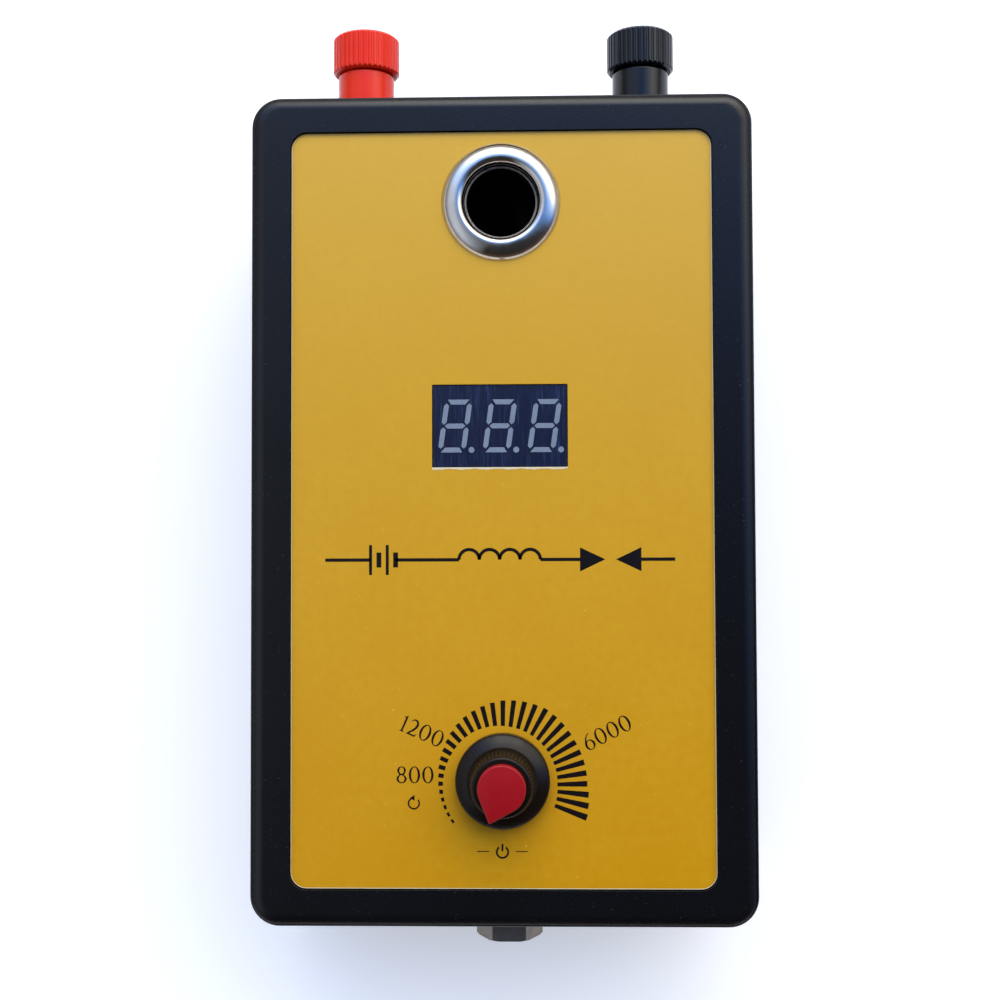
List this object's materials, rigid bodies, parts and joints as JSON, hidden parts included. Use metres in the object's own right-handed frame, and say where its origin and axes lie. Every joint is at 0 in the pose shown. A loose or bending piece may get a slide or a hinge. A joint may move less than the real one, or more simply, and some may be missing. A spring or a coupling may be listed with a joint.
{
  "type": "spark plug tester",
  "caption": "Hand-held spark plug tester: black moulded box, yellow panel, plug port, LED display, speed knob, two binding posts and a power jack.",
  "frame": {"origin": "Middle of the case's flat rear face, which lies on a bench.", "axes": "+Z out of the front panel, +Y along the case towards the binding posts, +X to the right when facing the panel."},
  "size_m": [0.085, 0.1597, 0.0513],
  "materials": {
    "case_black": "fine moulded texture",
    "label_yellow": "laminated print, semi-gloss",
    "screw_steel": "satin",
    "nickel": "bright",
    "insulator_black": "matt",
    "brass": "satin",
    "spring_steel": "bright",
    "display_navy": "smooth",
    "segment_grey": "smooth",
    "tinned": "satin",
    "board_green": "satin",
    "wafer_brown": "matt",
    "shaft_metal": "satin",
    "knob_black": "satin",
    "pointer_red": "satin",
    "post_red": "gloss",
    "post_black": "gloss",
    "ferrite": "matt",
    "bobbin_cream": "matt",
    "copper": "enamelled",
    "sink_metal": "black anodised",
    "capacitor_blue": "gloss",
    "capacitor_ochre": "gloss",
    "resistor_tan": "satin",
    "wire_red": "satin",
    "wire_black": "satin",
    "wire_blue": "satin"
  },
  "bodies": {
    "case": {"rear_case": "case_black", "front_cover": "case_black", "front_label": "label_yellow", "case_screws": "screw_steel", "plug_eyelet": "nickel", "eyelet_washer": "nickel", "spark_chamber": "insulator_black", "hv_terminal": "brass", "contact_spring": "spring_steel", "display_housing": "display_navy", "display_segments": "segment_grey", "display_pins": "tinned", "display_board": "board_green", "display_screws": "screw_steel", "pot_bushing": "nickel", "pot_can": "nickel", "pot_wafer": "wafer_brown", "pot_lugs": "tinned", "pot_switch": "insulator_black", "pot_washer": "nickel", "pot_nut": "nickel", "red_collar": "post_red", "red_stud": "brass", "red_bush": "post_red", "black_collar": "post_black", "black_stud": "brass", "black_bush": "post_black", "post_nuts": "nickel", "post_tags": "tinned", "jack_shell": "nickel", "jack_nut": "nickel", "jack_insulator": "insulator_black", "jack_pin": "nickel", "jack_tags": "tinned", "main_board": "board_green", "board_screws": "screw_steel", "coil_core": "ferrite", "coil_bobbin": "bobbin_cream", "coil_winding": "copper", "power_transistor": "insulator_black", "heat_sink": "sink_metal", "supply_capacitor": "capacitor_blue", "spark_capacitor": "capacitor_ochre", "control_chip": "insulator_black", "resistors": "resistor_tan", "red_wires": "wire_red", "black_wires": "wire_black", "signal_wires": "wire_blue", "hv_lead": "wire_red"},
    "knob": {"knob_body": "knob_black", "knob_pointer": "pointer_red", "pot_shaft": "shaft_metal", "pot_wiper": "brass"},
    "red_thread": {"red_insert": "brass"},
    "red_grip": {"red_cap": "post_red"},
    "black_thread": {"black_insert": "brass"},
    "black_grip": {"black_cap": "post_black"},
    "plug_contact": {"contact_button": "brass"}
  },
  "joints": [
    {"name": "knob_turn", "type": "hinge", "parent": "case", "child": "knob", "pos_m": [0, -0.0452, 0.045], "axis": [0, 0, 1], "range_deg": [-300, 0]},
    {"name": "red_cap_travel", "type": "slide", "parent": "case", "child": "red_thread", "axis": [0, 1, 0], "range_m": [0, 0.0035]},
    {"name": "red_cap_turn", "type": "hinge", "parent": "red_thread", "child": "red_grip", "pos_m": [-0.0246, 0.0815, 0.026], "axis": [0, 1, 0], "range_deg": [0, 1800]},
    {"name": "black_cap_travel", "type": "slide", "parent": "case", "child": "black_thread", "axis": [0, 1, 0], "range_m": [0, 0.0035]},
    {"name": "black_cap_turn", "type": "hinge", "parent": "black_thread", "child": "black_grip", "pos_m": [0.0248, 0.0815, 0.026], "axis": [0, 1, 0], "range_deg": [0, 1800]},
    {"name": "contact_press", "type": "slide", "parent": "case", "child": "plug_contact", "axis": [0, 0, 1], "range_m": [-0.0025, 0], "stiffness_N_per_m": 400, "deforming": ["contact_spring"]}
  ],
  "couplings": [
    {"joint": "red_cap_turn", "follows": "red_cap_travel", "rad_per_m": 8976},
    {"joint": "black_cap_turn", "follows": "black_cap_travel", "rad_per_m": 8976}
  ]
}
